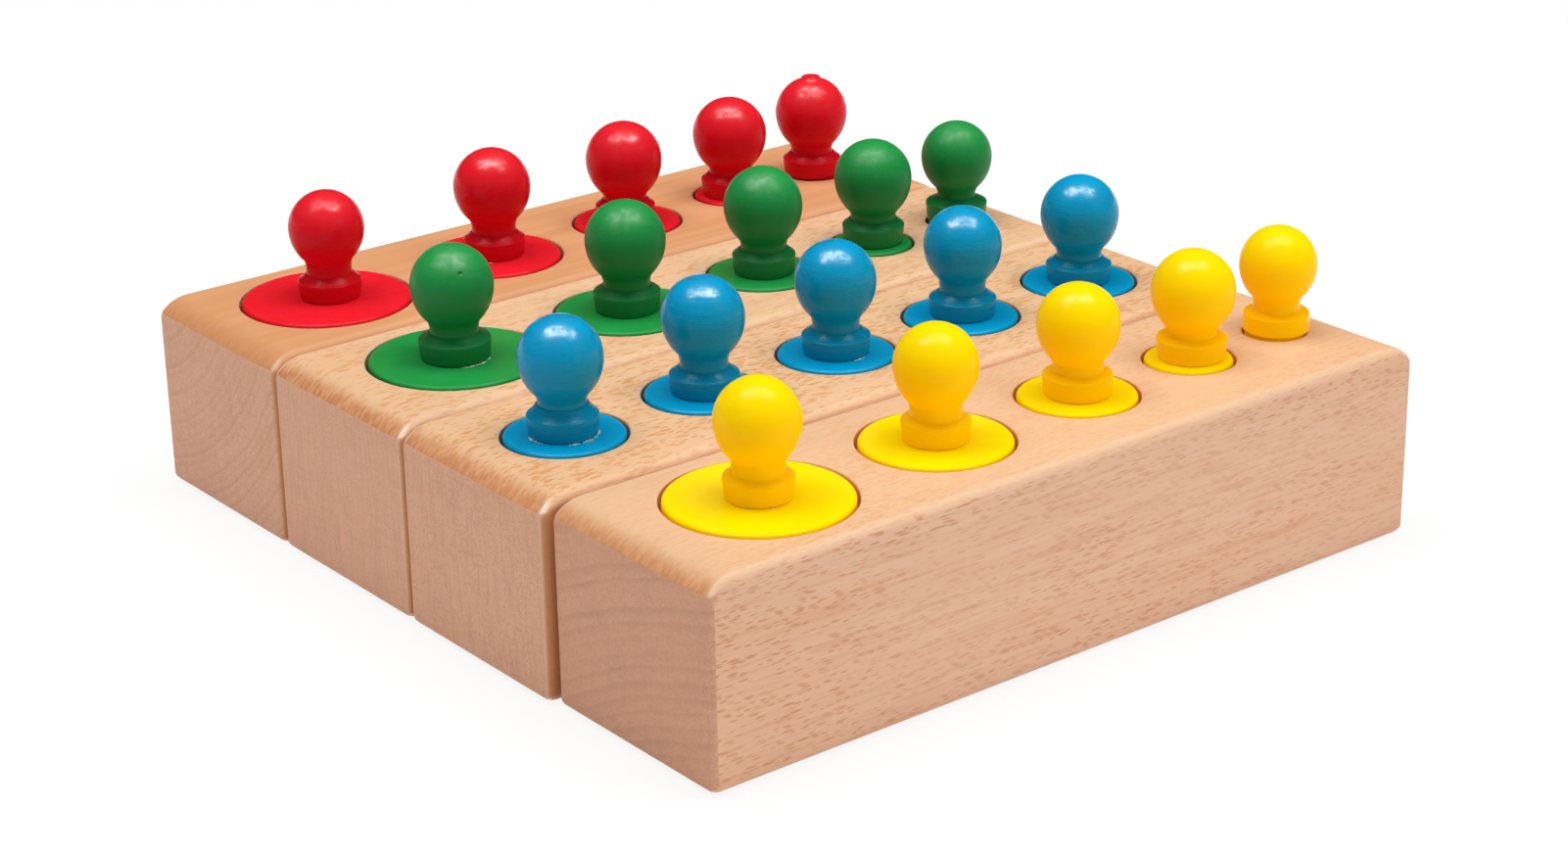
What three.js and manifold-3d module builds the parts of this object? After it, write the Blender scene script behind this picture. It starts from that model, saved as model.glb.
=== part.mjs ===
// Four beech blocks side by side. Each holds five painted cylinders with turned knobs in blind bores.
// Millimetres, +Z up. X runs along the blocks from the first cylinder to the last, Y runs from the
// front row to the back row, and the origin is the middle of the set on the table.
import * as THREE from "three";
import { mergeVertices } from "three/addons/utils/BufferGeometryUtils.js";
import Module from "manifold-3d";

// Wood left round the bores, which gives blocks of 150 x 40 x 35
const END_WOOD = 8.5;
const BORE_WALL = 7;
const SIDE_WOOD = 4.5;
const FLOOR_WOOD = 10;
const END_RADIUS = 7;
const END_ROUND_DEGREES = 52;
const FOOT_EASE_LENGTH = 2.6;
const FOOT_EASE_HEIGHT = 1;
const EDGE_RADIUS = 2;

// Graded sizes of the cylinders
const CYLINDERS_IN_ROW = 5;
const NARROWEST_DIAMETER = 10;
const DIAMETER_STEP = 5;
const EVEN_DIAMETER = 20;
const SHORTEST_HEIGHT = 9;
const HEIGHT_STEP = 4;
const CYLINDER_EDGE = 0.8;

// Seating of a cylinder in its bore
const BORE_CLEARANCE = 0.5;
const SEAT_GAP = 0.3;
const CYLINDER_PROUD = 0.3;

// Turned knob, from its collar up, and its tenon
const COLLAR_DIAMETER = 11.4;
const COLLAR_HEIGHT = 3.2;
const COLLAR_TAPER = 0.1;
const COLLAR_EDGE = 0.6;
const SHOULDER_HEIGHT = 1.8;
const NECK_DIAMETER = 8;
const NECK_HEIGHT = 1.6;
const BALL_DIAMETER = 13.8;
const TENON_DIAMETER = 5;
const SOCKET_FLOOR = 3;
const GLUE_LINE = 0.3;

// Gaps between the loose blocks, each in front of the row that it names
const BLUE_GAP = 0.7;
const GREEN_GAP = 0.25;
const RED_GAP = 0.25;

// How far the front block stands along from the other three
const YELLOW_ALONG = 1.2;

// How far a row's bores are drilled off the middle of their block
const YELLOW_BORES_ALONG = 0.9;
const BLUE_BORES_ALONG = -0.5;
const GREEN_BORES_ALONG = 0.3;
const RED_BORES_ALONG = -0.85;

// Fineness of the round forms
const FACET_LENGTH = 3.2;
const FEWEST_SIDES = 12;
const KNOB_SIDES = 16;
const BALL_STEPS = 5;
const EDGE_STEPS = 3;

// Sizes that follow from the ones above
const places = Array.from({ length: CYLINDERS_IN_ROW }, (_, place) => place);
const rising = (first, step) => places.map((place) => first + step * place);
const falling = (last, step) => rising(last, step).reverse();
const level = (size) => places.map(() => size);
const tallestHeight = Math.max(...rising(SHORTEST_HEIGHT, HEIGHT_STEP));
const boreDepthFor = (height) => height - CYLINDER_PROUD + SEAT_GAP;
const boreRadiusFor = (diameter) => diameter / 2 + BORE_CLEARANCE;
const tenonLength = SHORTEST_HEIGHT - SOCKET_FLOOR;
const socketRadius = TENON_DIAMETER / 2 + GLUE_LINE;

// Rows from front to back: what grades along the row is told by its colour
const rows = [
  {
    colour: "yellow",
    paint: 0xfcc900,
    gapInFront: 0,
    along: YELLOW_ALONG,
    boresAlong: YELLOW_BORES_ALONG,
    diameters: falling(NARROWEST_DIAMETER, DIAMETER_STEP),
    heights: falling(SHORTEST_HEIGHT, HEIGHT_STEP),
  },
  {
    colour: "blue",
    paint: 0x1583c4,
    gapInFront: BLUE_GAP,
    along: 0,
    boresAlong: BLUE_BORES_ALONG,
    diameters: level(EVEN_DIAMETER),
    heights: falling(SHORTEST_HEIGHT, HEIGHT_STEP),
  },
  {
    colour: "green",
    paint: 0x187a3c,
    gapInFront: GREEN_GAP,
    along: 0,
    boresAlong: GREEN_BORES_ALONG,
    diameters: falling(NARROWEST_DIAMETER, DIAMETER_STEP),
    heights: rising(SHORTEST_HEIGHT, HEIGHT_STEP),
  },
  {
    colour: "red",
    paint: 0xd8181f,
    gapInFront: RED_GAP,
    along: 0,
    boresAlong: RED_BORES_ALONG,
    diameters: falling(NARROWEST_DIAMETER, DIAMETER_STEP),
    heights: level(tallestHeight),
  },
];

// The blocks are all alike outside, so the longest row and the widest and deepest bores set their size
const boreRadii = rows.flatMap((row) => row.diameters.map(boreRadiusFor));
const boreDepths = rows.flatMap((row) => row.heights.map(boreDepthFor));
const wallsInRow = CYLINDERS_IN_ROW - 1;
const boresAcross = (row) => row.diameters.reduce((sum, diameter) => sum + 2 * boreRadiusFor(diameter), 0);
const blockLength = Math.max(...rows.map(boresAcross)) + wallsInRow * BORE_WALL + 2 * END_WOOD;
const blockWidth = 2 * Math.max(...boreRadii) + 2 * SIDE_WOOD;
const blockHeight = Math.max(...boreDepths) + FLOOR_WOOD;
const gapsBetween = rows.reduce((sum, row) => sum + row.gapInFront, 0);
const setWidth = rows.length * blockWidth + gapsBetween;
const standsAlong = rows.map((row) => row.along);
const setMiddle = (Math.min(...standsAlong) + Math.max(...standsAlong)) / 2;

const wasm = await Module();
wasm.setup();

const beech = new THREE.MeshStandardMaterial({ color: 0xdfb08a, roughness: 0.6, flatShading: true });

function sidesFor(radius) {
  const quarterSides = (2 * Math.PI * radius) / FACET_LENGTH / 4;
  return Math.max(FEWEST_SIDES, 4 * Math.round(quarterSides));
}

// Joins the vertices that share a place, and drops the triangles that this leaves without area
function weld(geometry) {
  geometry.deleteAttribute("normal");
  geometry.deleteAttribute("uv");
  const joined = mergeVertices(geometry);
  const kept = [];
  for (let start = 0; start < joined.index.count; start += 3) {
    const corners = [0, 1, 2].map((corner) => joined.index.getX(start + corner));
    if (new Set(corners).size === 3) {
      kept.push(...corners);
    }
  }
  joined.setIndex(kept);
  joined.clearGroups();
  return joined;
}

// Revolves a profile of [radius, height] points, from the axis back to the axis, about +Z
function turn(profile, sides) {
  const points = profile.map(([radius, height]) => new THREE.Vector2(radius, height));
  return weld(new THREE.LatheGeometry(points, sides).rotateX(Math.PI / 2));
}

function toSolid(geometry) {
  const vertProperties = new Float32Array(geometry.attributes.position.array);
  const triVerts = new Uint32Array(geometry.index.array);
  return new wasm.Manifold(new wasm.Mesh({ numProp: 3, vertProperties, triVerts }));
}

function cut(blank, cutters) {
  const left = cutters.reduce((rest, cutter) => rest.subtract(toSolid(cutter)), toSolid(blank));
  const mesh = left.getMesh();
  const geometry = new THREE.BufferGeometry();
  geometry.setAttribute("position", new THREE.BufferAttribute(mesh.vertProperties, 3));
  geometry.setIndex(new THREE.BufferAttribute(mesh.triVerts, 1));
  return geometry;
}

// Block blank: its side view, rounded over from the top to an edge at each end and eased under the
// ends, is carried across the block, and both rims are rounded
function blockBlank() {
  const sweep = THREE.MathUtils.degToRad(END_ROUND_DEGREES);
  const end = blockLength / 2;
  const foot = end - FOOT_EASE_LENGTH;
  const x = end - END_RADIUS * Math.sin(sweep);
  const z = blockHeight - END_RADIUS;
  const up = Math.PI / 2;
  const side = new THREE.Shape();
  side.absarc(x, z, END_RADIUS, up - sweep, up);
  side.absarc(-x, z, END_RADIUS, up, up + sweep);
  side.lineTo(-end, FOOT_EASE_HEIGHT);
  side.lineTo(-foot, 0);
  side.lineTo(foot, 0);
  side.lineTo(end, FOOT_EASE_HEIGHT);
  const depth = blockWidth - 2 * EDGE_RADIUS;
  const blank = new THREE.ExtrudeGeometry(side, {
    depth,
    curveSegments: EDGE_STEPS,
    bevelThickness: EDGE_RADIUS,
    bevelSize: EDGE_RADIUS,
    bevelOffset: -EDGE_RADIUS,
    bevelSegments: EDGE_STEPS,
  });
  return weld(blank.translate(0, 0, -depth / 2).rotateX(Math.PI / 2));
}

// Blind bore that stands out past the block's top as far as its cylinder does
function boreCutter(diameter, height, x) {
  const radius = boreRadiusFor(diameter);
  const floor = blockHeight - boreDepthFor(height);
  const past = blockHeight + CYLINDER_PROUD;
  const profile = [
    [0, floor],
    [radius, floor],
    [radius, past],
    [0, past],
  ];
  return turn(profile, sidesFor(diameter / 2)).translate(x, 0, 0);
}

// Centres of a row's bores along the block, with even walls between them
function boreCentres(row) {
  const wall = (blockLength - 2 * END_WOOD - boresAcross(row)) / wallsInRow;
  const centres = [];
  let edge = END_WOOD + row.boresAlong - blockLength / 2;
  for (const diameter of row.diameters) {
    const radius = boreRadiusFor(diameter);
    centres.push(edge + radius);
    edge += 2 * radius + wall;
  }
  return centres;
}

// Cylinder from its foot at zero up, with both rims eased and a socket for the knob's tenon
function cylinder(diameter, height) {
  const radius = diameter / 2;
  const blank = turn([
    [0, 0],
    [radius - CYLINDER_EDGE, 0],
    [radius, CYLINDER_EDGE],
    [radius, height - CYLINDER_EDGE],
    [radius - CYLINDER_EDGE, height],
    [0, height],
  ], sidesFor(radius));
  const socket = turn([
    [0, height - tenonLength],
    [socketRadius, height - tenonLength],
    [socketRadius, height + GLUE_LINE],
    [0, height + GLUE_LINE],
  ], sidesFor(socketRadius));
  return cut(blank, [socket]);
}

// Knob with the foot of its collar at zero and its tenon below
function knob() {
  const collar = COLLAR_DIAMETER / 2;
  const neck = NECK_DIAMETER / 2;
  const ball = BALL_DIAMETER / 2;
  const shoulderTop = COLLAR_HEIGHT + SHOULDER_HEIGHT;
  const ballFrom = -Math.acos(neck / ball);
  const ballCentre = shoulderTop + NECK_HEIGHT - ball * Math.sin(ballFrom);
  const profile = [
    [0, -tenonLength],
    [TENON_DIAMETER / 2, -tenonLength],
    [TENON_DIAMETER / 2, 0],
    [collar - COLLAR_TAPER, 0],
    [collar, COLLAR_HEIGHT - COLLAR_EDGE],
    [collar - COLLAR_EDGE, COLLAR_HEIGHT],
    [neck, shoulderTop],
  ];
  for (let step = 0; step < BALL_STEPS; step += 1) {
    const angle = THREE.MathUtils.lerp(ballFrom, Math.PI / 2, step / BALL_STEPS);
    profile.push([ball * Math.cos(angle), ballCentre + ball * Math.sin(angle)]);
  }
  profile.push([0, ballCentre + ball]);
  return turn(profile, KNOB_SIDES);
}

function named(name, geometry, material) {
  const mesh = new THREE.Mesh(geometry, material);
  mesh.name = name;
  return mesh;
}

function paintedCylinder(row, place) {
  const paint = new THREE.MeshStandardMaterial({ color: row.paint, roughness: 0.35, flatShading: true });
  const height = row.heights[place];
  const piece = new THREE.Group();
  const knobPiece = named(`${row.colour}_knob_${place + 1}`, knob(), paint);
  knobPiece.position.z = height + GLUE_LINE;
  piece.add(named(`${row.colour}_cylinder_${place + 1}`, cylinder(row.diameters[place], height), paint));
  piece.add(knobPiece);
  piece.position.z = blockHeight + CYLINDER_PROUD - height;
  return piece;
}

function blockWithCylinders(row) {
  const group = new THREE.Group();
  const centres = boreCentres(row);
  const cutters = places.map((place) => boreCutter(row.diameters[place], row.heights[place], centres[place]));
  group.add(named(`${row.colour}_block`, cut(blockBlank(), cutters), beech));
  for (const place of places) {
    const piece = paintedCylinder(row, place);
    piece.position.x = centres[place];
    group.add(piece);
  }
  return group;
}

const blocks = new THREE.Group();
let rowFront = -setWidth / 2;
for (const row of rows) {
  rowFront += row.gapInFront;
  const group = blockWithCylinders(row);
  group.position.set(row.along - setMiddle, rowFront + blockWidth / 2, 0);
  rowFront += blockWidth;
  blocks.add(group);
}

export default blocks;
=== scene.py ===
import math

import bmesh
import bpy
from mathutils import Matrix, Vector, noise


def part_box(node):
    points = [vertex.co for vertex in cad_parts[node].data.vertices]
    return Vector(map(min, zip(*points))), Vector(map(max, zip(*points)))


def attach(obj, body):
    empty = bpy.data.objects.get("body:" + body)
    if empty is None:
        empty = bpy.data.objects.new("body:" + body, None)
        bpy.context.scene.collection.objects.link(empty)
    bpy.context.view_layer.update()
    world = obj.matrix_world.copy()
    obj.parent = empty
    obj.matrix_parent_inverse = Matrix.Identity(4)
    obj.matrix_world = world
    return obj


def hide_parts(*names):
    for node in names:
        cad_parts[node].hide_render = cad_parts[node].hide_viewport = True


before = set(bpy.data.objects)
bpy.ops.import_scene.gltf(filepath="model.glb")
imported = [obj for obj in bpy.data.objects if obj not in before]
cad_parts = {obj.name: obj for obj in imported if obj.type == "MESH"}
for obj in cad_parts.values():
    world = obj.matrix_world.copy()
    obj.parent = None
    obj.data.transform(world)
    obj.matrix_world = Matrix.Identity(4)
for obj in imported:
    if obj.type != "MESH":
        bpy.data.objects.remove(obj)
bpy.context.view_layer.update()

MM = 0.001
ROWS = ("yellow", "blue", "green", "red")
PLACES = range(1, 6)

# Beech blocks: corner and edge rounding, and the drilled bores
END_ROUND = 7.0 * MM
END_ROUND_SWEEP = math.radians(52)
FOOT_ROUND = 3.9 * MM
FOOT_ROUND_SWEEP = math.radians(42)
ARRIS_ROUND = 0.6 * MM
LONG_EDGE_ROUND = 2.1 * MM
UPRIGHT_EDGE_ROUND = 1.3 * MM
CORNER_ROUND = 2.8 * MM
FOOT_CORNER_ROUND = 1.2 * MM
CORNER_REACH = 7.0 * MM
SHARPEST = 0.02 * MM
TOP_CORNER = (CORNER_ROUND, END_ROUND, END_ROUND_SWEEP)
FOOT_CORNER = (FOOT_CORNER_ROUND, FOOT_ROUND, FOOT_ROUND_SWEEP)
BORE_CLEARANCE = 0.5 * MM
SEAT_GAP = 0.3 * MM
MOUTH_EASE = 0.35 * MM
DRILL_POINT_RADIUS = 1.1 * MM
DRILL_POINT_DEPTH = 0.7 * MM

# Painted cylinders
DISC_TOP = 35.3 * MM
RIM_ROUND = 0.8 * MM
TENON_RADIUS = 2.5 * MM
TENON_LENGTH = 6 * MM
GLUE_LINE = 0.3 * MM

# Turned knobs, measured up from the top of the cylinder
COLLAR_TAPER = 0.25 * MM
COLLAR_FOOT_EASE = 0.25 * MM
COLLAR_FOOT_RISE = 0.5 * MM
LEDGE_EASE = 0.35 * MM
LEDGE_FALL = 0.3 * MM
LEDGE_RISE = 0.12 * MM
HOLLOW_WIDTH = 0.8 * MM
HOLLOW_RISE = 0.1 * MM
SHELF_WIDTH = 0.25 * MM
WAIST_RISE = 0.35 * MM
WAIST_PULL = (0.02 * MM, 0.05 * MM)
BALL_CENTRE = 12.5 * MM
BALL_FROM = math.radians(-48)
BALL_DROP = 1.12
# Radii and heights of the knobs in each row, in millimetres
KNOB_SIZES = {
    "yellow": {"ball": 6.9, "neck": 4.2, "collar": 5.65, "collar_height": 3.5, "shoulder": 0.5},
    "blue": {"ball": 6.95, "neck": 4.0, "collar": 5.9, "collar_height": 3.2, "shoulder": 1.15},
    "green": {"ball": 7.1, "neck": 4.15, "collar": 5.75, "collar_height": 3.5, "shoulder": 1.0},
    "red": {"ball": 7.05, "neck": 4.0, "collar": 5.65, "collar_height": 3.3, "shoulder": 1.1},
}
# Turned and glued by hand: how single knobs differ from their row, in millimetres
KNOB_CHANGES = {
    ("yellow", 3): {"height": -0.5, "collar": 0.2},
    ("yellow", 4): {"ball": 0.2, "height": -0.85, "along": 0.6, "collar": 0.35},
    ("yellow", 5): {
        "ball": -0.25, "neck": -0.25, "height": -0.8, "along": 0.4, "collar_height": -0.35, "base": 0.35,
    },
    ("blue", 1): {"height": 0.35, "along": -0.2, "collar_height": 0.2, "shoulder": 0.55},
    ("blue", 2): {"height": 0.35, "along": 0.1},
    ("blue", 3): {"height": 0.2},
    ("blue", 4): {"ball": -0.15, "height": 0.15, "along": 0.4},
    ("blue", 5): {"height": -0.2},
    ("green", 1): {"height": 0.35, "along": -0.15, "collar": 0.45},
    ("green", 2): {"height": 0.25, "along": 0.3, "collar": 0.2},
    ("green", 3): {"along": 0.3},
    ("green", 4): {"height": -0.2, "along": 0.5},
    ("green", 5): {"ball": -0.5, "neck": -0.6, "height": -0.25, "along": 0.4},
    ("red", 1): {"ball": -0.35, "height": 0.35, "along": 0.85},
    ("red", 2): {"height": 0.55, "along": 0.5},
    ("red", 3): {"ball": 0.1, "height": -0.45, "along": -0.3},
    ("red", 4): {"height": -0.55, "along": -0.7},
    ("red", 5): {"ball": -0.1, "height": -0.2, "along": -1.0},
}
# Flat nubs left on top of a ball by the lathe: radius and height over the ball
NUBS = {("red", 5): (1.8 * MM, 0.3 * MM)}
NUB_EASE = 0.4 * MM
NUB_FALL = 0.25 * MM
# Pits in the paint: direction from the middle of the ball, width and depth
PITS = {("green", 1): ((-0.25, -0.80, 0.53), 0.4 * MM, 0.3 * MM)}
# Glue squeezed out at the foot of a knob: from and to in degrees round it, and thickness in millimetres
GLUE_TRACES = {
    ("blue", 1): ((160, 200, 0.2), (243, 262, 0.18), (268, 299, 0.32), (303, 336, 0.16)),
    ("green", 1): ((246, 312, 0.14),),
    ("yellow", 1): ((216, 222, 0.14), (252, 258, 0.15)),
    ("red", 2): ((208, 236, 0.16),),
    ("blue", 3): ((262, 290, 0.14),),
}
# The beads of glue: distance from the collar, step along them, waves per radian, width and rise
BEAD_OUT = 0.05 * MM
BEAD_STEP = 0.15 * MM
BEAD_LUMPS = 22
BEAD_WANDER = 9
BEAD_WIDTH = 1.5
BEAD_RISE = 0.6

# Where the wood is stained and where the seams' shade is painted, along from the middle of the set, how far
# its rings waver, and its relief
NEAR_END = (45 * MM, 73 * MM)
SEAM_MOUTH = (70.5 * MM, 73.8 * MM)
RING_WAVER = 2 * MM
WOOD_RELIEF = 0.06 * MM

# Where the painted shade over the collar and neck and the lacquer begin and end, from the top of the
# cylinder up
COLLAR_SPAN = (0.3 * MM, 1.5 * MM)
NECK_SPAN = (6.5 * MM, 10 * MM)
LACQUER_SPAN = (5 * MM, 8 * MM)

# Edges sharper than this stay crisp in the shading
CRISP_ON_BLOCK = math.radians(25)
CRISP_ON_TURNED = math.radians(30)

# Fineness of the round forms
ARRIS_STEPS = 4
CORNER_STEPS = 13
RIM_STEPS = 8
RUBBED_STEPS = 4
BORE_SIDES = 96
KNOB_SIDES = 72
EDGE_STEPS = 5
LEDGE_STEPS = 4
HOLLOW_STEPS = 6
NECK_STEPS = 8
BALL_STEPS = 30
BEAD_SIDES = 6


class Value:
    """A socket in a material's node tree. Sums written on it add Math nodes."""

    def __init__(self, finish, socket):
        self.finish = finish
        self.socket = socket

    def __add__(self, other):
        return self.finish.math("ADD", self, other)

    def __radd__(self, other):
        return self.finish.math("ADD", other, self)

    def __sub__(self, other):
        return self.finish.math("SUBTRACT", self, other)

    def __rsub__(self, other):
        return self.finish.math("SUBTRACT", other, self)

    def __mul__(self, other):
        return self.finish.math("MULTIPLY", self, other)

    def __rmul__(self, other):
        return self.finish.math("MULTIPLY", other, self)

    def __truediv__(self, other):
        return self.finish.math("DIVIDE", self, other)

    def __rtruediv__(self, other):
        return self.finish.math("DIVIDE", other, self)


class Finish:
    """A surface finish under construction: one material and its nodes."""

    def __init__(self, name):
        self.material = bpy.data.materials.new(name)
        self.material.use_nodes = True
        self.tree = self.material.node_tree
        self.tree.nodes.clear()
        self.place = self.node("ShaderNodeTexCoord", out="Object")
        self.normal = self.node("ShaderNodeTexCoord", out="Normal")

    def node(self, kind, settings=None, sockets=None, out=0):
        """Adds a node, sets its settings, then the values or links of its sockets, and gives one output."""
        made = self.tree.nodes.new(kind)
        for setting, value in (settings or {}).items():
            setattr(made, setting, value)
        for key, value in (sockets or {}).items():
            if isinstance(value, Value):
                self.tree.links.new(value.socket, made.inputs[key])
            else:
                made.inputs[key].default_value = value
        return Value(self, made.outputs[out]) if made.outputs else None

    def math(self, operation, first, second=0.0):
        return self.node("ShaderNodeMath", {"operation": operation}, {0: first, 1: second})

    def vector(self, operation, first, second=(0, 0, 0), out=0):
        return self.node("ShaderNodeVectorMath", {"operation": operation}, {0: first, 1: second}, out)

    def parts(self, vector):
        """The X, Y and Z of a vector as three values."""
        return [self.node("ShaderNodeSeparateXYZ", sockets={0: vector}, out=axis) for axis in range(3)]

    def join(self, x, y, z):
        return self.node("ShaderNodeCombineXYZ", sockets={0: x, 1: y, 2: z})

    def step(self, value, low, high):
        """Runs smoothly from 0 at low to 1 at high."""
        sockets = {"Value": value, "From Min": low, "From Max": high}
        return self.node("ShaderNodeMapRange", {"interpolation_type": "SMOOTHSTEP"}, sockets)

    def mix(self, factor, first, second, blend="MIX"):
        """Mixes two colours."""
        settings = {"data_type": "RGBA", "blend_type": blend}
        colours = {6: first, 7: second}
        for key, colour in colours.items():
            if not isinstance(colour, Value):
                colours[key] = rgba(colour)
        return self.node("ShaderNodeMix", settings, {0: factor, **colours}, 2)

    def grain(self, scale, detail=2.0, turn=(0, 0, 0), shift=(0, 0, 0), swirl=0.0):
        """Noise with its own number of waves per metre along each axis."""
        sockets = {"Vector": self.place, "Location": shift, "Rotation": turn, "Scale": scale}
        placed = self.node("ShaderNodeMapping", sockets=sockets)
        waves = {"Vector": placed, "Scale": 1.0, "Detail": detail, "Distortion": swirl}
        return self.node("ShaderNodeTexNoise", sockets=waves)

    def bump(self, height, depth, strength=1.0):
        sockets = {"Strength": strength, "Distance": depth, "Height": height}
        return self.node("ShaderNodeBump", sockets=sockets)

    def surface(self, **sockets):
        """Ends the finish in one painted, oiled or bare surface."""
        named = {name.replace("_", " "): value for name, value in sockets.items()}
        shader = self.node("ShaderNodeBsdfPrincipled", sockets=named)
        self.node("ShaderNodeOutputMaterial", sockets={"Surface": shader})
        return self.material


def rgba(colour):
    return (*colour, 1.0)


class Beech(Finish):
    """The wood of one block. Each block was cut from another place in the tree."""

    def __init__(self, row, look):
        super().__init__(f"beech_{row}")
        self.look = look
        self.tilt = (0, look["tilt_on_side"], look["tilt_on_top"])
        self.shift = look["cut_from"]
        self.along, self.across, self.up = self.parts(self.place)
        facing = [self.math("ABSOLUTE", part) for part in self.parts(self.normal)]
        self.facing_end, self.facing_side, self.facing_up = facing
        self.on_side = self.step(self.facing_side, 0.6, 0.9)
        self.from_middle = self.math("ABSOLUTE", self.along)
        self.streak = self.grain((10, 300, 300), 3.0, self.tilt, self.shift)
        self.fibre = self.grain((90, 2600, 2600), 3.0, self.tilt, self.shift)
        self.cloud = self.grain((14, 55, 55), 2.0, shift=self.shift)
        self.late_wood = self.growth_rings()
        self.dashes = self.face_dashes()

    def growth_rings(self):
        """Dark bands of uneven strength round the heart of the tree, which lies outside the block."""
        heart_y, heart_z = self.look["heart"]
        waver = self.grain((8, 70, 70), 2.0, shift=self.shift) - 0.5
        from_heart = self.join(0.0, self.across - heart_y, self.up - heart_z)
        distance = self.vector("LENGTH", from_heart, out="Value")
        ring_count = (distance + waver * RING_WAVER) / self.look["ring_width"]
        ring_phase = self.math("FRACT", ring_count)
        yearly = {"W": ring_count, "Scale": 0.6, "Detail": 1.0}
        ring_depth = self.node("ShaderNodeTexNoise", {"noise_dimensions": "1D"}, yearly)
        late_wood = self.step(ring_phase, 0.1, 0.85) * (1 - self.step(ring_phase, 0.88, 1.0))
        return late_wood * self.step(ring_depth, 0.3, 0.65)

    def ray_dashes(self, sizes):
        """Lens-shaped flecks along the grain, in sizes given as (length, thickness, share of places)."""
        marks = None
        for length, thickness, share in sizes:
            scale = (1 / length, 1 / thickness, 1 / thickness)
            sockets = {"Vector": self.place, "Location": self.shift, "Rotation": self.tilt, "Scale": scale}
            placed = self.node("ShaderNodeMapping", sockets=sockets)
            cells = {"Vector": placed, "Scale": 1.0, "Randomness": 1.0}
            distance = self.node("ShaderNodeTexVoronoi", {"feature": "F1"}, cells, "Distance")
            chance = self.node("ShaderNodeTexVoronoi", {"feature": "F1"}, cells, "Color")
            pick = self.parts(chance)[0]
            mark = (1 - self.step(distance, 0.25, 0.6)) * self.step(pick, 1 - share, 1 - 0.5 * share)
            marks = mark if marks is None else self.math("MAXIMUM", marks, mark)
        return marks

    def face_dashes(self):
        """Rays, which show as short dashes, more on one face of a block than on another."""
        on_top, on_side = self.look["dashes_on_top"], self.look["dashes_on_side"]
        share = on_top + (on_side - on_top) * self.on_side
        top_dashes = self.ray_dashes(self.look["dash_sizes"]) * (1 - self.on_side)
        side_dashes = self.ray_dashes(SIDE_DASHES) * self.on_side
        dashes = (top_dashes + side_dashes) * share * (0.55 + 0.9 * self.step(self.cloud, 0.3, 0.7))
        return self.math("MINIMUM", dashes, 1.0)

    def face_grain(self):
        """Colour of the top and the long faces: streaks, rings, fibres and dashes, and a painted light tint
        on the long faces.
        """
        look = self.look
        fleck = self.mix(self.on_side, look["fleck"], look["side_fleck"])
        fine_streak = self.grain((70, 1300, 1300), 2.0, self.tilt, self.shift)
        near_end = self.step(self.from_middle, *NEAR_END)
        wood = self.mix(self.step(self.streak, 0.3, 0.7) * look["streaks"], look["pale"], look["warm"])
        wood = self.mix(self.step(self.cloud, 0.35, 0.75) * 0.3, wood, look["warm"])
        wood = self.mix(self.late_wood * look["ring_on_face"], wood, fleck)
        wood = self.mix(self.step(self.fibre, 0.45, 0.8) * 0.14, wood, fleck)
        wood = self.mix(near_end * look["warm_ends"], wood, look["warm"])
        # Painted light: the long faces are tinted cooler and a little lighter, for the fill light that falls
        # on them
        wood = self.mix(self.on_side * 0.8, wood, self.mix(1.0, wood, look["side_light_tint"], "MULTIPLY"))
        wood = self.mix(self.step(fine_streak, 0.48, 0.72) * (0.12 + 0.2 * self.on_side), wood, fleck)
        return self.mix(self.dashes, wood, fleck)

    def sanded(self, wood):
        """Scorches the rounded ends, most where they meet the flat end, and paints edges and corners pale:
        partly wear, partly a painted highlight.
        """
        look = self.look
        streaks = self.grain((420, 1300, 420), 4.0, self.tilt, self.shift)
        burnt = self.step(streaks, 0.35, 0.65) * look["scorch_streaks"]
        scorch_colour = self.mix(burnt, look["scorch"], look["scorch_dark"])
        off_sides = 1 - self.step(self.facing_side, 0.2, 0.6)
        rounded_end = self.step(self.facing_end, *look["scorch_from"]) * off_sides
        scorch = self.math("MINIMUM", rounded_end * (0.8 + 0.5 * burnt), 1.0)
        wood = self.mix(scorch, wood, scorch_colour)
        # Painted sheen and wear: the rounded long edges of the top are painted paler
        long_edge = self.step(self.facing_side, 0.05, 0.5) * (1 - self.step(self.facing_side, 0.6, 0.98))
        long_edge = long_edge * self.step(self.facing_up, 0.1, 0.5)
        wood = self.mix(long_edge * 0.3, wood, look["edge_wear_and_sheen"])
        # Painted highlight and wear: the top corners are painted pale
        corner = self.step(self.facing_end, 0.25, 0.5) * self.step(self.facing_side, 0.2, 0.45)
        corner = corner * self.step(self.facing_up, 0.25, 0.45)
        return self.mix(corner * look["worn_and_lit"], wood, look["corner_wear_and_highlight"])

    def end_grain(self, wood):
        """Turns the ends greyer, with rings, fine pores and crossing lines."""
        look = self.look
        pale, dark = look["end_pale"], look["end_dark"]
        lean = (look["ray_lean"], 0, 0)
        pores = self.grain((2000, 3000, 3000), 3.0, shift=self.shift)
        ray_lines = self.grain((20, 800, 130), 4.0, lean, self.shift, 0.8)
        cross_lines = self.grain((20, 150, 800), 3.0, lean, self.shift, 0.8)
        cloud = self.grain((20, 120, 120), 3.0, shift=self.shift)
        end_wood = self.mix(self.late_wood * look["ring_on_end"], pale, dark)
        end_wood = self.mix(self.step(ray_lines, 0.4, 0.7) * look["ray_on_end"], end_wood, dark)
        end_wood = self.mix(self.step(cross_lines, 0.4, 0.7) * 0.13, end_wood, dark)
        end_wood = self.mix(self.step(pores, 0.42, 0.7) * 0.45, end_wood, dark)
        end_wood = self.mix(self.step(cloud, 0.35, 0.7) * 0.25, end_wood, look["end_warm"])
        on_end = self.step(self.facing_end, 0.14, 0.3) * (1 - self.step(self.facing_up, 0.36, 0.5))
        return self.mix(on_end, wood, end_wood)

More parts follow.
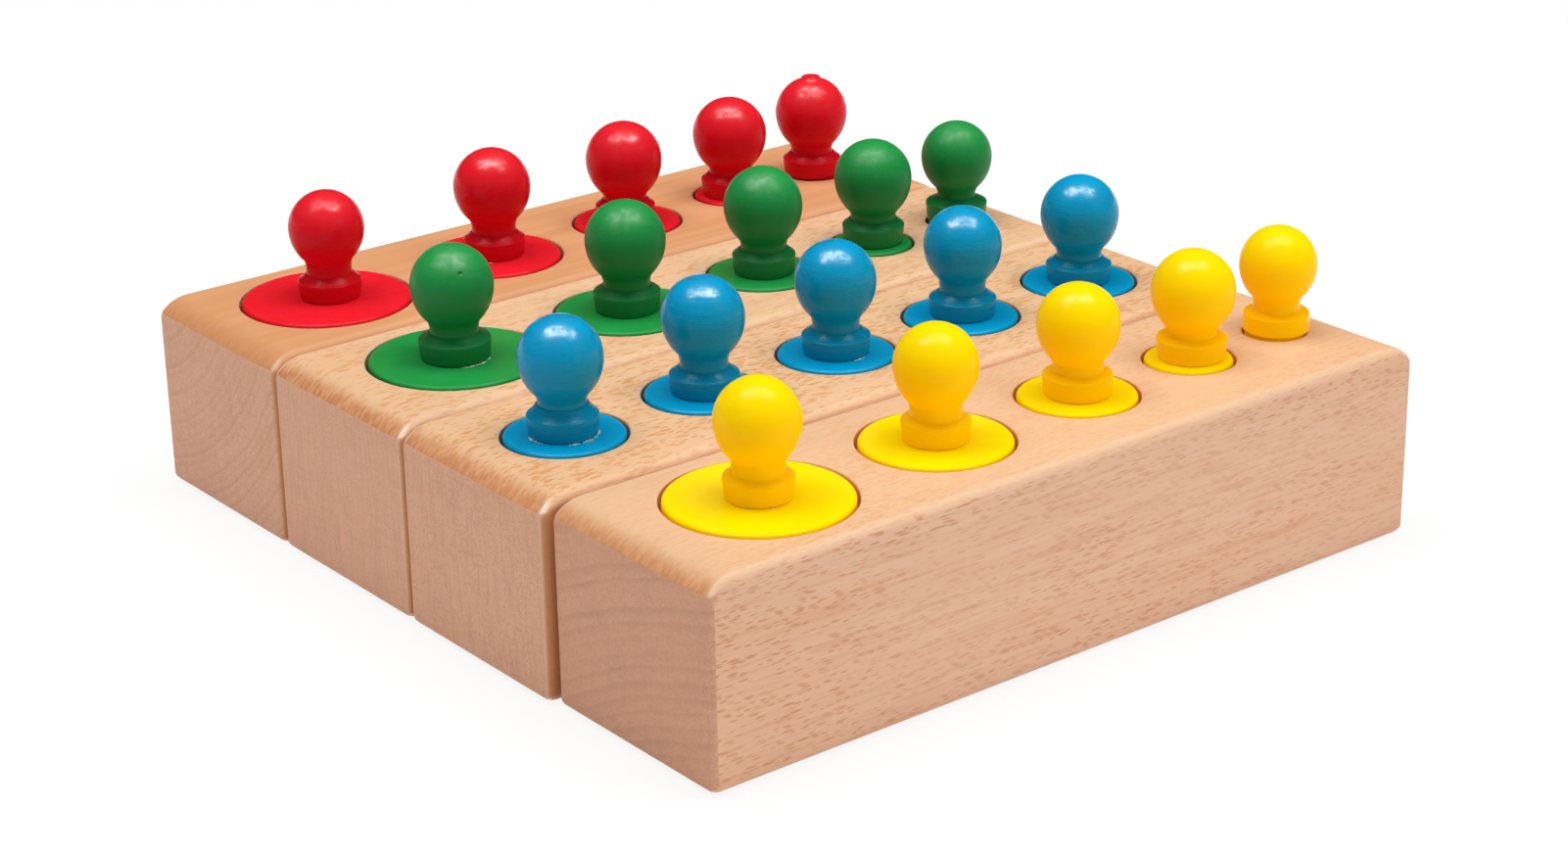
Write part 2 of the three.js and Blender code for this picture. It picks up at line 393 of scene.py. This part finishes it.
    def upright_edges(self, wood):
        """Paints the upright edges pale, partly wear and partly a painted highlight, and darkens the long
        faces where a seam opens at the ends: painted shade of the seam, with a sanding burn.
        """
        look = self.look
        below_top = 1 - self.step(self.facing_up, 0.2, 0.5)
        # Painted highlight and wear: the upright edges are painted paler
        rubbed = self.step(self.facing_side, 0.15, 0.4) * (1 - self.step(self.facing_side, 0.55, 0.85))
        wood = self.mix(rubbed * below_top * look["worn_and_lit"] * 0.5, wood, look["edge_wear_and_sheen"])
        # Painted shade: the long faces are painted darker orange-brown inside the seams between blocks, for
        # their shade and warm bounce light, with a sanding burn
        by_seam = self.step(self.from_middle, *SEAM_MOUTH) * below_top
        in_seam_shade = by_seam * self.step(self.facing_side, 0.4, 0.85)
        return self.mix(in_seam_shade * look["seam_stain_and_shade"], wood, look["seam"])

    def finished(self):
        wood = self.upright_edges(self.end_grain(self.sanded(self.face_grain())))
        relief = self.fibre * 0.5 + self.streak * 0.4 - self.dashes * 0.7
        return self.surface(
            Base_Color=wood,
            Roughness=0.5 + 0.12 * self.streak + 0.1 * self.dashes,
            Specular_IOR_Level=0.3,
            Normal=self.bump(relief, WOOD_RELIEF, 0.5),
        )


# Paint over turned wood, which keeps a trace of the turning lines and the grain
def paint(row, look):
    finish = Finish(f"{row}_paint")
    facing_up = finish.parts(finish.normal)[2]
    over_disc = finish.parts(finish.place)[2] - DISC_TOP
    mottle = finish.grain((260, 260, 260), 3.0)
    turning = finish.grain((60, 60, 3200), 2.0)
    peel = finish.grain((700, 700, 900), 3.0)
    brushing = finish.grain((160, 160, 900), 3.0)
    runs = finish.grain((800, 800, 220), 2.0)

    # Painted shade: the paint is darker on the sides, which turn away from the overhead light, and low on
    # the knob, in the crease from the collar to the neck
    painted_neck_shade = finish.step(over_disc, *COLLAR_SPAN) * (1 - finish.step(over_disc, *NECK_SPAN))
    shaded = finish.math("MAXIMUM", 1 - finish.step(facing_up, -0.2, 0.95), painted_neck_shade)
    colour = finish.mix(finish.step(mottle, 0.3, 0.7) * 0.5, look["coat"], look["thin"])
    colour = finish.mix(shaded * look["painted_shade_share"], colour, look["painted_shade_colour"])
    # Painted light: the paint glows a little where its shade is painted; only the yellow has a glow colour
    glow = finish.mix(shaded, (0, 0, 0), look["glow"])

    # The lacquer is thickest on top of the ball and broken by brush marks and runs
    lacquer = finish.step(facing_up, 0.1, 0.6) * (0.3 + 0.7 * finish.step(brushing, 0.38, 0.6))
    lacquer = lacquer * (0.1 + 0.9 * finish.step(over_disc, *LACQUER_SPAN))
    lacquer = lacquer * (0.35 + 0.65 * finish.step(runs, 0.4, 0.58))
    relief = turning * look["turning"] + peel * look["peel"] + brushing * 0.4
    return finish.surface(
        Base_Color=colour,
        Roughness=look["roughness"] + 0.3 * (brushing - 0.5),
        Specular_IOR_Level=look["gloss"],
        Coat_Weight=lacquer * look["lacquer"],
        Coat_Roughness=look["roughness"],
        Coat_IOR=look["coat_ior"],
        Emission_Color=glow,
        Emission_Strength=1.0,
        Normal=finish.bump(relief, look["relief"], 0.6),
    )


def dried_glue():
    finish = Finish("dried_glue")
    lumps = finish.grain((1500, 1500, 1500), 3.0)
    colour = finish.mix(finish.step(lumps, 0.35, 0.65), (0.72, 0.68, 0.62), (0.45, 0.45, 0.44))
    return finish.surface(
        Base_Color=colour,
        Roughness=0.35 + 0.2 * lumps,
        Normal=finish.bump(lumps, 0.1 * MM, 0.5),
    )


# Mesh work
def ring(mesh, points):
    return [mesh.verts.new(point) for point in points]


def bridge(mesh, first, second, gap=None):
    """Quads between two closed rings with as many points each, apart from the quad at gap."""
    for index in range(len(first)):
        if index == gap:
            continue
        after = (index + 1) % len(first)
        mesh.faces.new((first[index], first[after], second[after], second[index]))


def fan(mesh, points, tip):
    for index in range(len(points)):
        mesh.faces.new((points[index], points[(index + 1) % len(points)], tip))


def circle(centre, radius, height, sides):
    turns = [2 * math.pi * index / sides for index in range(sides)]
    return [(centre[0] + radius * math.cos(t), centre[1] + radius * math.sin(t), height) for t in turns]


def arc(centre, radius, start, end, steps):
    """Points of a round stretch, as (radius from the axis, height)."""
    turns = [start + (end - start) * step / steps for step in range(steps + 1)]
    return [(centre[0] + radius * math.cos(t), centre[1] + radius * math.sin(t)) for t in turns]


def bend(start, pull, end, steps):
    """Points of a curve from start to end, drawn towards pull."""
    points = []
    for step in range(steps + 1):
        t = step / steps
        weights = ((1 - t) ** 2, 2 * t * (1 - t), t ** 2)
        weighted = list(zip(weights, (start, pull, end)))
        points.append(tuple(sum(weight * point[axis] for weight, point in weighted) for axis in range(2)))
    return points


def turned(mesh, profile, centre, sides):
    """Revolves a profile that starts and ends on the axis."""
    tip = mesh.verts.new((*centre, profile[0][1]))
    last = None
    for radius, height in profile[1:-1]:
        new = ring(mesh, circle(centre, radius, height, sides))
        if last is None:
            fan(mesh, new, tip)
        else:
            bridge(mesh, last, new)
        last = new
    fan(mesh, last, mesh.verts.new((*centre, profile[-1][1])))


def added(name, data):
    """Adds an object to the scene."""
    made = bpy.data.objects.new(name, data)
    bpy.context.scene.collection.objects.link(made)
    return made


def skinned(name, mesh, material):
    """Adds an object with this mesh and material."""
    data = bpy.data.meshes.new(name)
    mesh.to_mesh(data)
    mesh.free()
    data.materials.append(material)
    return added(name, data)


def finished_piece(name, mesh, material, sharp_from):
    """Adds a piece with smooth shading that breaks at edges sharper than sharp_from."""
    bmesh.ops.recalc_face_normals(mesh, faces=mesh.faces)
    piece = skinned(name, mesh, material)
    piece.data.shade_smooth()
    piece.data.set_sharp_from_angle(angle=sharp_from)
    weighted = piece.modifiers.new("even_shading", "WEIGHTED_NORMAL")
    weighted.keep_sharp = True
    return piece


# Beech block: its side view is carried across the block and rolled over at the two long faces
def corner_point(step, inset, arris, over, sweep):
    """A point of the side view's corner, set in all round: (in from the end, away from top or underside)."""
    reach = over * math.sin(sweep)
    large = over - inset
    small = max(arris - inset, SHARPEST)
    level = reach - inset - small
    rise = math.sqrt((large - small) ** 2 - level ** 2)
    meeting = math.atan2(rise, level)
    if step < ARRIS_STEPS:
        turn = meeting * step / ARRIS_STEPS
        return inset + small - small * math.cos(turn), over - rise - small * math.sin(turn)
    turn = meeting + (math.pi / 2 - meeting) * (step - ARRIS_STEPS) / (CORNER_STEPS - ARRIS_STEPS)
    return reach - large * math.cos(turn), over - large * math.sin(turn)


def side_view(low, high, rolled, sunk):
    """Points round the block's side view, set in by a share of the roll-over, with their depth."""
    points = []
    for quarter, (end, top) in enumerate(((1, 1), (-1, 1), (-1, -1), (1, -1))):
        steps = range(CORNER_STEPS + 1)
        for step in steps if quarter % 2 == 0 else reversed(steps):
            share = step / CORNER_STEPS
            roll = UPRIGHT_EDGE_ROUND + (LONG_EDGE_ROUND - UPRIGHT_EDGE_ROUND) * share
            depth = roll * sunk if sunk <= 1 else roll + (CORNER_REACH - roll) * (sunk - 1)
            rubbed = max(0.0, 1 - depth / CORNER_REACH) ** 2
            corner, *shape = TOP_CORNER if top > 0 else FOOT_CORNER
            arris = ARRIS_ROUND + (corner - ARRIS_ROUND) * rubbed
            inward, down = corner_point(step, roll * rolled, arris, *shape)
            x = high.x - inward if end > 0 else low.x + inward
            z = high.z - down if top > 0 else low.z + down
            points.append((x, depth, z))
    return points


def block_skin(mesh, low, high):
    """Rings of the block from its front face to its back face. The top between the edges stays open."""
    bends = [math.pi / 2 * (1 - step / RIM_STEPS) for step in range(RIM_STEPS + 1)]
    stages = [(1 - math.cos(turn), 1 - math.sin(turn)) for turn in bends]
    stages += [(0.0, 1 + (step + 1) / RUBBED_STEPS) for step in range(RUBBED_STEPS)]
    outlines = [side_view(low, high, rolled, sunk) for rolled, sunk in stages]
    rings = [ring(mesh, [(x, low.y + depth, z) for x, depth, z in outline]) for outline in outlines]
    outlines.reverse()
    rings += [ring(mesh, [(x, high.y - depth, z) for x, depth, z in outline]) for outline in outlines]
    mesh.faces.new(rings[0])
    mesh.faces.new(rings[-1])
    top_start, top_end = CORNER_STEPS, CORNER_STEPS + 1
    flat = range(RIM_STEPS, len(rings) - RIM_STEPS - 1)
    for number, (first, second) in enumerate(zip(rings, rings[1:])):
        bridge(mesh, first, second, top_start if number in flat else None)
    level = rings[RIM_STEPS:len(rings) - RIM_STEPS]
    return [row[top_start] for row in level] + [row[top_end] for row in reversed(level)]


def bore(mesh, centre, radius, top, floor):
    """A blind bore with an eased mouth and the mark of the drill's point. Gives the ring at its mouth."""
    eased = arc((radius + MOUTH_EASE, top - MOUTH_EASE), MOUTH_EASE, math.pi / 2, math.pi, EDGE_STEPS)
    profile = eased + [(radius, floor), (DRILL_POINT_RADIUS, floor)]
    rings = [ring(mesh, circle(centre, r, z, BORE_SIDES)) for r, z in profile]
    for first, second in zip(rings, rings[1:]):
        bridge(mesh, first, second)
    fan(mesh, rings[-1], mesh.verts.new((*centre, floor - DRILL_POINT_DEPTH)))
    return rings[0]


def edges_round(mesh, points):
    """The edges of a closed ring of points, made where they are missing."""
    found = []
    for index, point in enumerate(points):
        other = points[(index + 1) % len(points)]
        found.append(mesh.edges.get((point, other)) or mesh.edges.new((point, other)))
    return found


def seat(row, place):
    """Where a cylinder stands: its middle, its radius, and the heights of its foot and its top."""
    low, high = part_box(f"{row}_cylinder_{place}")
    centre = ((low.x + high.x) / 2, (low.y + high.y) / 2)
    return centre, (high.x - low.x) / 2, low.z, high.z


def block(row):
    low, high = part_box(f"{row}_block")
    mesh = bmesh.new()
    edges = edges_round(mesh, block_skin(mesh, low, high))
    for place in PLACES:
        centre, radius, foot, _ = seat(row, place)
        mouth = bore(mesh, centre, radius + BORE_CLEARANCE, high.z, foot - SEAT_GAP)
        edges += edges_round(mesh, mouth)
    bmesh.ops.triangle_fill(mesh, use_beauty=True, edges=edges, normal=(0, 0, 1))
    return finished_piece(f"{row}_block_finished", mesh, BEECH[row], CRISP_ON_BLOCK)


# Painted cylinder with rounded rims and a socket for its knob
def cylinder(row, place):
    centre, radius, foot, top = seat(row, place)
    inner = radius - RIM_ROUND
    socket = TENON_RADIUS + GLUE_LINE
    profile = [(0, foot)]
    profile += arc((inner, foot + RIM_ROUND), RIM_ROUND, -math.pi / 2, 0, EDGE_STEPS)
    profile += arc((inner, top - RIM_ROUND), RIM_ROUND, 0, math.pi / 2, EDGE_STEPS)
    profile += [(socket, top), (socket, top - TENON_LENGTH), (0, top - TENON_LENGTH)]
    mesh = bmesh.new()
    turned(mesh, profile, centre, BORE_SIDES)
    return finished_piece(f"{row}_cylinder_{place}_finished", mesh, PAINT[row], CRISP_ON_TURNED)


# Turned knob: tenon, collar, rounded shoulder, neck and ball
def knob_size(row, place, size):
    return (KNOB_SIZES[row].get(size, 0.0) + KNOB_CHANGES.get((row, place), {}).get(size, 0.0)) * MM


def ball_middle(row, place, foot):
    return foot + BALL_CENTRE + knob_size(row, place, "height")


def collar_profile(foot, edge, base, collar, shoulder, neck):
    """From the collar's foot over its ledge and the hollow above it to the waist."""
    points = [
        (base - COLLAR_FOOT_EASE, foot),
        (base - 0.2 * COLLAR_FOOT_EASE, foot + 0.4 * COLLAR_FOOT_RISE),
        (base, foot + COLLAR_FOOT_RISE),
    ]
    ledge = (collar - LEDGE_EASE, edge + LEDGE_RISE)
    points += bend((collar, edge - LEDGE_FALL), (collar, edge), ledge, LEDGE_STEPS)
    hollow = (neck + HOLLOW_WIDTH, edge + HOLLOW_RISE + 0.4 * shoulder)
    shelf = (neck + SHELF_WIDTH, edge + shoulder)
    points += bend(ledge, hollow, shelf, HOLLOW_STEPS)[1:]
    waist = (neck, shelf[1] + WAIST_RISE)
    pull = (neck + WAIST_PULL[0], shelf[1] + WAIST_PULL[1])
    return points + bend(shelf, pull, waist, LEDGE_STEPS)[1:]


def ball_profile(waist, middle, ball):
    """From the waist to the top of the ball, whose lower half is drawn out."""
    points = arc((0, middle), ball, BALL_FROM, math.pi / 2, BALL_STEPS)
    points = [(radius, z + min(z - middle, 0) * (BALL_DROP - 1)) for radius, z in points]
    neck, start = waist[0], points[0]
    tangent = (start[0] - neck) * BALL_DROP / math.tan(-BALL_FROM)
    return bend(waist, (neck, start[1] - tangent), start, NECK_STEPS)[1:-1] + points


def knob_profile(row, place, foot):
    sizes = ("ball", "neck", "collar", "collar_height", "shoulder", "base")
    ball, neck, collar, collar_height, shoulder, wider = [knob_size(row, place, size) for size in sizes]
    base = collar - COLLAR_TAPER + wider
    middle = ball_middle(row, place, foot)
    tenon_foot = foot - TENON_LENGTH + GLUE_LINE
    profile = [(0, tenon_foot), (TENON_RADIUS, tenon_foot), (TENON_RADIUS, foot)]
    profile += collar_profile(foot, foot + collar_height, base, collar, shoulder, neck)
    profile += ball_profile(profile[-1], middle, ball)
    top = profile.pop()[1]
    if (row, place) in NUBS:
        nub, rise = NUBS[row, place]
        profile = [point for point in profile if point[1] < middle or point[0] > nub]
        top += rise
        profile += bend((nub, top - NUB_FALL), (nub, top), (nub - NUB_EASE, top), EDGE_STEPS)
    return profile + [(0, top)]


def pit(mesh, centre, radius, towards, width, depth):
    """Sinks a small pit into a ball."""
    outward = Vector(towards).normalized()
    spot = Vector(centre) + outward * radius
    near = [face for face in mesh.faces if (face.calc_center_median() - spot).length < 2 * width]
    edges = list({edge for face in near for edge in face.edges})
    bmesh.ops.subdivide_edges(mesh, edges=edges, cuts=3, use_grid_fill=True)
    for vertex in mesh.verts:
        share = (vertex.co - spot).length / width
        if share < 1:
            vertex.co -= outward * depth * (1 - share ** 2)


def glue_trace(mesh, centre, radius, height, start, end, size):
    """A broken bead of dried glue on a cylinder's top, round the foot of its knob."""
    steps = max(6, round((end - start) * radius / BEAD_STEP))
    last = None
    for step in range(steps + 1):
        share = step / steps
        turn = start + (end - start) * share
        lump = noise.noise(Vector((turn * BEAD_LUMPS, start * 3, 0.5)))
        thickness = max(SHARPEST, size * (0.6 + 1.8 * lump) * math.sin(math.pi * share) ** 0.4)
        place = radius + size * 0.5 * noise.noise(Vector((turn * BEAD_WANDER, start, 2.5)))
        points = []
        for corner in range(BEAD_SIDES):
            round_bead = 2 * math.pi * corner / BEAD_SIDES
            out = place + thickness * BEAD_WIDTH * math.cos(round_bead)
            rise = height + thickness * BEAD_RISE * math.sin(round_bead)
            points.append((centre[0] + out * math.cos(turn), centre[1] + out * math.sin(turn), rise))
        new = ring(mesh, points)
        if last:
            bridge(mesh, last, new)
        else:
            mesh.faces.new(new)
        last = new
    mesh.faces.new(last)


def knob(row, place):
    centre, _, _, foot = seat(row, place)
    mesh = bmesh.new()
    turned(mesh, knob_profile(row, place, foot), centre, KNOB_SIDES)
    if (row, place) in PITS:
        middle = (*centre, ball_middle(row, place, foot))
        pit(mesh, middle, knob_size(row, place, "ball"), *PITS[row, place])
    wood_faces = set(mesh.faces)
    for start, end, size in GLUE_TRACES.get((row, place), ()):
        spread = knob_size(row, place, "collar") - COLLAR_TAPER + BEAD_OUT
        glue_trace(mesh, centre, spread, foot, math.radians(start), math.radians(end), size * MM)
    for face in mesh.faces:
        face.material_index = 0 if face in wood_faces else 1
    for vertex in mesh.verts:
        if math.dist(vertex.co.xy, centre) > 1.01 * TENON_RADIUS or vertex.co.z > foot:
            vertex.co.x += knob_size(row, place, "along")
    piece = finished_piece(f"{row}_knob_{place}_finished", mesh, PAINT[row], CRISP_ON_TURNED)
    piece.data.materials.append(GLUE)
    return piece


# Dashes as (length, thickness, share of places), lengths in metres
SIDE_DASHES = ((0.0028, 0.00044, 0.3), (0.0018, 0.00034, 0.36))
BEECH_LOOKS = {
    "yellow": {
        "heart": (-0.105, -0.094), "ring_width": 0.0023, "ring_on_face": 0.05, "ring_on_end": 0.34,
        "ray_on_end": 0.1, "ray_lean": 1.5, "cut_from": (0.31, 0.12, 0.05),
        "tilt_on_side": math.radians(11), "tilt_on_top": math.radians(-6),
        "dash_sizes": ((0.0024, 0.00055, 0.5), (0.0015, 0.0004, 0.5)),
        "dashes_on_top": 0.38, "dashes_on_side": 0.58, "streaks": 0.6, "warm_ends": 0.35,
        "scorch_streaks": 0.45, "seam_stain_and_shade": 0.0, "scorch_from": (0.26, 0.8), "worn_and_lit": 0.12,
        "pale": (0.77, 0.50, 0.305), "end_pale": (0.72, 0.375, 0.235),
    },
    "blue": {
        "heart": (-0.16, 0.02), "ring_width": 0.0012, "ring_on_face": 0.06, "ring_on_end": 0.12,
        "ray_on_end": 0.2, "ray_lean": 0.0, "cut_from": (0.77, 0.41, 0.23),
        "tilt_on_side": math.radians(6), "tilt_on_top": math.radians(-26),
        "dash_sizes": ((0.0028, 0.0008, 0.45), (0.0017, 0.0006, 0.5)),
        "dashes_on_top": 1.0, "dashes_on_side": 0.6, "streaks": 0.7, "warm_ends": 0.5,
        "scorch_streaks": 0.55, "seam_stain_and_shade": 0.85, "pale": (0.80, 0.515, 0.30),
    },
    "green": {
        "heart": (-0.10, 0.03), "ring_width": 0.0014, "ring_on_face": 0.08, "ring_on_end": 0.14,
        "ray_on_end": 0.2, "ray_lean": 0.1, "cut_from": (0.17, 0.63, 0.37),
        "tilt_on_side": math.radians(5), "tilt_on_top": math.radians(-14),
        "dash_sizes": ((0.0030, 0.0008, 0.42), (0.0018, 0.0006, 0.45)),
        "dashes_on_top": 0.7, "dashes_on_side": 0.6, "streaks": 0.7, "warm_ends": 0.5,
        "scorch_streaks": 0.7, "seam_stain_and_shade": 0.85, "scorch_from": (0.3, 0.74),
    },
    "red": {
        "heart": (0.095, 0.06), "ring_width": 0.0016, "ring_on_face": 0.12, "ring_on_end": 0.3,
        "ray_on_end": 0.15, "ray_lean": -0.7, "cut_from": (0.53, 0.29, 0.71),
        "tilt_on_side": math.radians(-2), "tilt_on_top": math.radians(-4),
        "dash_sizes": ((0.0040, 0.0006, 0.2), (0.0020, 0.0004, 0.2)),
        "dashes_on_top": 0.35, "dashes_on_side": 0.5, "streaks": 0.9, "warm_ends": 0.2,
        "scorch_streaks": 0.3, "seam_stain_and_shade": 0.85,
        "pale": (0.72, 0.36, 0.175), "warm": (0.64, 0.29, 0.125), "scorch": (0.64, 0.28, 0.115),
        "scorch_from": (0.05, 0.75), "edge_wear_and_sheen": (0.80, 0.48, 0.27), "worn_and_lit": 0.3,
    },
}
BEECH_COLOURS = {
    "pale": (0.80, 0.53, 0.325), "warm": (0.73, 0.44, 0.245), "fleck": (0.66, 0.31, 0.115),
    "side_light_tint": (1.05, 1.0, 1.13), "side_fleck": (0.60, 0.255, 0.13), "edge_wear_and_sheen": (0.84, 0.60, 0.42),
    "scorch": (0.67, 0.29, 0.12), "scorch_dark": (0.49, 0.19, 0.075), "scorch_from": (0.22, 0.74),
    "seam": (0.60, 0.25, 0.09), "corner_wear_and_highlight": (0.93, 0.76, 0.61), "worn_and_lit": 0.85,
    "end_pale": (0.80, 0.445, 0.285), "end_dark": (0.50, 0.235, 0.14), "end_warm": (0.72, 0.36, 0.205),
}
BEECH = {row: Beech(row, {**BEECH_COLOURS, **look}).finished() for row, look in BEECH_LOOKS.items()}

# The coat and thin colours are the paints' own; the shaded colour is painted shade on the sides and low on
# the knob, and glow is painted light
PAINT_LOOKS = {
    "yellow": {
        "coat": (0.95, 0.70, 0.0005), "thin": (0.97, 0.74, 0.001), "painted_shade_colour": (0.99, 0.55, 0.0005),
        "painted_shade_share": 0.9, "roughness": 0.2, "gloss": 0.05, "lacquer": 0.45, "turning": 0.25, "peel": 0.3,
        "glow": (0.13, 0.06, 0.0),
    },
    "blue": {
        "coat": (0.001, 0.32, 0.6), "thin": (0.001, 0.35, 0.63), "painted_shade_colour": (0.001, 0.255, 0.45),
        "painted_shade_share": 0.9, "roughness": 0.24, "gloss": 0.15, "lacquer": 1.0, "turning": 0.7, "peel": 1.0,
        "coat_ior": 2.1, "relief": 0.16 * MM,
    },
    "green": {
        "coat": (0.011, 0.295, 0.053), "thin": (0.018, 0.33, 0.066), "painted_shade_colour": (0.004, 0.182, 0.041),
        "painted_shade_share": 0.9, "roughness": 0.42, "gloss": 0.22, "lacquer": 0.8, "turning": 0.8, "peel": 1.0,
        "coat_ior": 1.7,
    },
    "red": {
        "coat": (0.80, 0.012, 0.024), "thin": (0.84, 0.018, 0.03), "painted_shade_colour": (0.66, 0.003, 0.011),
        "painted_shade_share": 0.9, "roughness": 0.27, "gloss": 0.08, "lacquer": 1.0, "turning": 0.6, "peel": 0.8,
        "coat_ior": 1.75,
    },
}
PLAIN_PAINT = {"coat_ior": 1.5, "relief": 0.06 * MM, "glow": (0, 0, 0)}
PAINT = {row: paint(row, {**PLAIN_PAINT, **look}) for row, look in PAINT_LOOKS.items()}
GLUE = dried_glue()

for row in ROWS:
    piece = block(row)
    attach(piece, f"{row}_row")
    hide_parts(f"{row}_block")
    for place in PLACES:
        for piece, node in ((cylinder(row, place), "cylinder"), (knob(row, place), "knob")):
            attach(piece, f"{row}_peg_{place}")
            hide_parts(f"{row}_{node}_{place}")


# Studio: pale floor, overhead softbox, weak fill and the camera
FLOOR_SIZE = 20.0
FLOOR_DROP = 0.1 * MM
FLOOR_WHITE = 0.93
FLOOR_GLOW = 0.88
SOFTBOX_SIZE = (1.3, 0.5)
SOFTBOX_HEIGHT = 1.05
SOFTBOX_POWER = 12.2
FILL_POWER = 6.8
FILL_SIZE = 1.2
FILL_FROM = (0.7, -1.5, 0.6)
WORLD_LIGHT = 0.3

CAMERA_YAW = math.radians(38.0707)
CAMERA_PITCH = math.radians(22.0059)
CAMERA_ROLL = math.radians(0.9655)
CAMERA_DISTANCE = 624.49 * MM
CAMERA_AIM = Vector((24.21, 27.075, 0.0)) * MM
IMAGE_WIDTH = 1601
FOCAL_PIXELS = 3392.85
SENSOR_WIDTH = 36.0


def floor():
    finish = Finish("pale_floor")
    path = "ShaderNodeLightPath"
    seen = finish.node(path, out="Is Camera Ray")
    for ray in ("Is Glossy Ray", "Is Transmission Ray"):
        seen = finish.math("MAXIMUM", seen, finish.node(path, out=ray))
    speckle = finish.grain((40, 40, 40), 2.0)
    white = finish.mix(speckle, (FLOOR_WHITE - 0.01,) * 3, (FLOOR_WHITE + 0.01,) * 3)
    matt = finish.node("ShaderNodeBsdfDiffuse", sockets={"Color": white})
    glow = finish.node("ShaderNodeEmission", sockets={"Color": rgba((1, 1, 1)), "Strength": 1.0})
    mixed = finish.node("ShaderNodeMixShader", sockets={0: seen * FLOOR_GLOW, 1: matt, 2: glow})
    finish.node("ShaderNodeOutputMaterial", sockets={"Surface": mixed})
    half = FLOOR_SIZE / 2
    mesh = bmesh.new()
    corners = ((-half, -half), (half, -half), (half, half), (-half, half))
    mesh.faces.new(ring(mesh, [(x, y, -FLOOR_DROP) for x, y in corners]))
    skinned("floor", mesh, finish.material)


def lamp(name, place, aim, size, power, long_side=None):
    """A rectangular softbox that faces a point, its long side along long_side where that is given."""
    light = bpy.data.lights.new(name, "AREA")
    light.shape = "RECTANGLE"
    light.size, light.size_y = size
    light.energy = power
    made = added(name, light)
    back = (Vector(place) - Vector(aim)).normalized()
    side = Vector(long_side) if long_side else Vector((0, 0, 1)).cross(back).normalized()
    axes = Matrix((side, back.cross(side), back)).transposed()
    made.matrix_world = Matrix.Translation(place) @ axes.to_4x4()
    return made


def camera():
    """Stands the camera at the photograph's angle, and gives the direction to the right in the picture."""
    forward = Vector((
        math.cos(CAMERA_PITCH) * math.sin(CAMERA_YAW),
        math.cos(CAMERA_PITCH) * math.cos(CAMERA_YAW),
        -math.sin(CAMERA_PITCH),
    ))
    right = forward.cross(Vector((0, 0, 1))).normalized()
    down = forward.cross(right)
    rolled_right = right * math.cos(CAMERA_ROLL) + down * math.sin(CAMERA_ROLL)
    rolled_down = down * math.cos(CAMERA_ROLL) - right * math.sin(CAMERA_ROLL)
    lens = bpy.data.cameras.new("camera")
    lens.sensor_fit = "HORIZONTAL"
    lens.sensor_width = SENSOR_WIDTH
    lens.lens = FOCAL_PIXELS * SENSOR_WIDTH / IMAGE_WIDTH
    made = added("camera", lens)
    axes = Matrix((rolled_right, -rolled_down, -forward)).transposed()
    made.matrix_world = Matrix.Translation(CAMERA_AIM - forward * CAMERA_DISTANCE) @ axes.to_4x4()
    bpy.context.scene.camera = made
    return right


floor()
picture_right = camera()
lamp("softbox", (0, 0, SOFTBOX_HEIGHT), (0, 0, 0), SOFTBOX_SIZE, SOFTBOX_POWER, picture_right)
fill = lamp("fill", FILL_FROM, (0, 0, 0), (FILL_SIZE, FILL_SIZE), FILL_POWER)
fill.visible_glossy = False
world = bpy.data.worlds.new("studio")
bpy.context.scene.world = world
world.use_nodes = True
world.node_tree.nodes["Background"].inputs["Color"].default_value = rgba((1, 1, 1))
world.node_tree.nodes["Background"].inputs["Strength"].default_value = WORLD_LIGHT
world.cycles_visibility.glossy = False
bpy.context.scene.view_settings.view_transform = "Standard"
